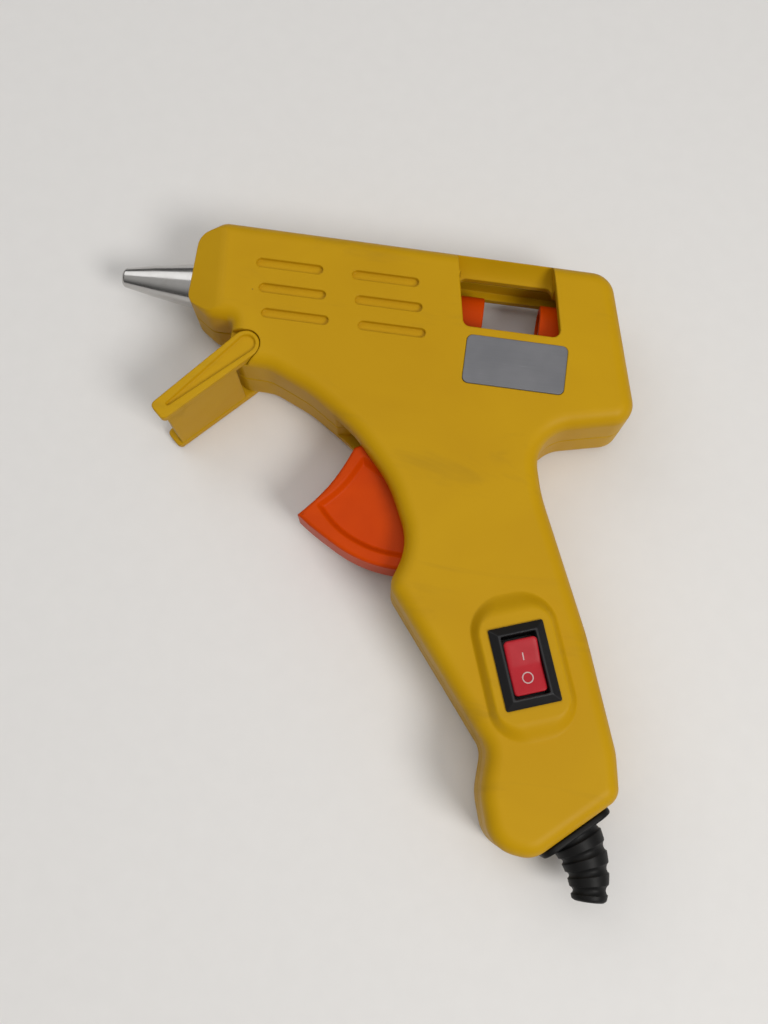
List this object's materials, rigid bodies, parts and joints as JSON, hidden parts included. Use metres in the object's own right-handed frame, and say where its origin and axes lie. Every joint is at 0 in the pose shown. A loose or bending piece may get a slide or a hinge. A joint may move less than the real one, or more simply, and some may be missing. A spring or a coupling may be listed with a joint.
{
  "type": "hot glue applicator",
  "caption": "Small trigger-fed hot glue applicator with folding stand, rocker switch and side feed window, modelled with its heater, feed carriage and wiring inside.",
  "frame": {"origin": "middle of the overall box, on the plane that the applicator lies on, which is the flat outer face of its right side", "axes": "+X from the nozzle towards the rear, where the glue stick goes in; +Y from the handle's butt up towards the barrel; +Z out of the left side, which carries the switch"},
  "size_m": [0.1114, 0.1208, 0.024],
  "materials": {
    "housing": "satin, fine moulded texture",
    "orange_plastic": "semi-gloss",
    "polished_metal": "bright, turned",
    "cast_aluminium": "as cast",
    "zinc_steel": "zinc plated",
    "heater_film": "brown insulating film",
    "insulator": "matt",
    "silicone": "soft satin",
    "black_plastic": "satin",
    "red_plastic": "gloss",
    "terminal_brass": "stamped",
    "silver_film": "satin film, bare",
    "black_rubber": "satin",
    "white_wire": "satin insulation",
    "grey_wire": "satin insulation"
  },
  "bodies": {
    "housing": {"left_housing_shell": "housing", "right_housing_shell": "housing", "nozzle": "polished_metal", "melt_barrel": "cast_aluminium", "heater_element": "heater_film", "heater_spring_plate": "zinc_steel", "barrel_insulator_ring": "insulator", "stick_sleeve": "silicone", "sleeve_clip_ring": "zinc_steel", "trigger_pivot_pin": "zinc_steel", "trigger_return_spring": "zinc_steel", "stand_pivot_pin": "zinc_steel", "switch_case": "black_plastic", "switch_terminal_in": "terminal_brass", "switch_terminal_out": "terminal_brass", "side_plate": "silver_film", "cord_boot": "black_rubber", "cord_clamp_bar": "black_plastic", "cord_clamp_screw_upper": "zinc_steel", "cord_clamp_screw_lower": "zinc_steel", "live_crimp": "insulator", "neutral_crimp": "insulator", "live_lead": "white_wire", "switched_lead": "grey_wire", "neutral_lead": "white_wire", "housing_screw_front": "zinc_steel", "housing_screw_heel": "zinc_steel", "housing_screw_waist": "zinc_steel", "housing_screw_palm": "zinc_steel", "housing_screw_butt": "zinc_steel"},
    "trigger": {"trigger": "orange_plastic"},
    "carriage": {"feed_carriage": "orange_plastic", "gripper_pin": "zinc_steel"},
    "gripper": {"stick_gripper": "polished_metal"},
    "stand": {"stand": "housing"},
    "rocker": {"switch_rocker": "red_plastic"}
  },
  "joints": [
    {"name": "trigger_pull", "type": "hinge", "parent": "housing", "child": "trigger", "pos_m": [0.00931, 0.02106, 0.01], "axis": [0, 0, 1], "range_deg": [0, 25], "stiffness_Nm_per_rad": 0.02, "springref_deg": -28.65, "deforming": ["trigger_return_spring"]},
    {"name": "carriage_feed", "type": "slide", "parent": "housing", "child": "carriage", "axis": [-1, 0, 0], "range_m": [0, 0.0058]},
    {"name": "gripper_bite", "type": "hinge", "parent": "carriage", "child": "gripper", "pos_m": [0.02213, 0.04045, 0.01], "axis": [0, 0, 1], "range_deg": [-13, 0]},
    {"name": "stand_fold", "type": "hinge", "parent": "housing", "child": "stand", "pos_m": [-0.02616, 0.03436, 0.01], "axis": [0, 0, 1], "range_deg": [-48, 0]},
    {"name": "rocker_tilt", "type": "hinge", "parent": "housing", "child": "rocker", "pos_m": [0.03467, -0.02065, 0.0213], "axis": [-0.9397, -0.342, 0], "range_deg": [0, 16]}
  ],
  "couplings": [
    {"joint": "carriage_feed", "follows": "trigger_pull", "m_per_rad": 0.013},
    {"joint": "gripper_bite", "follows": "trigger_pull", "ratio": -0.5}
  ]
}
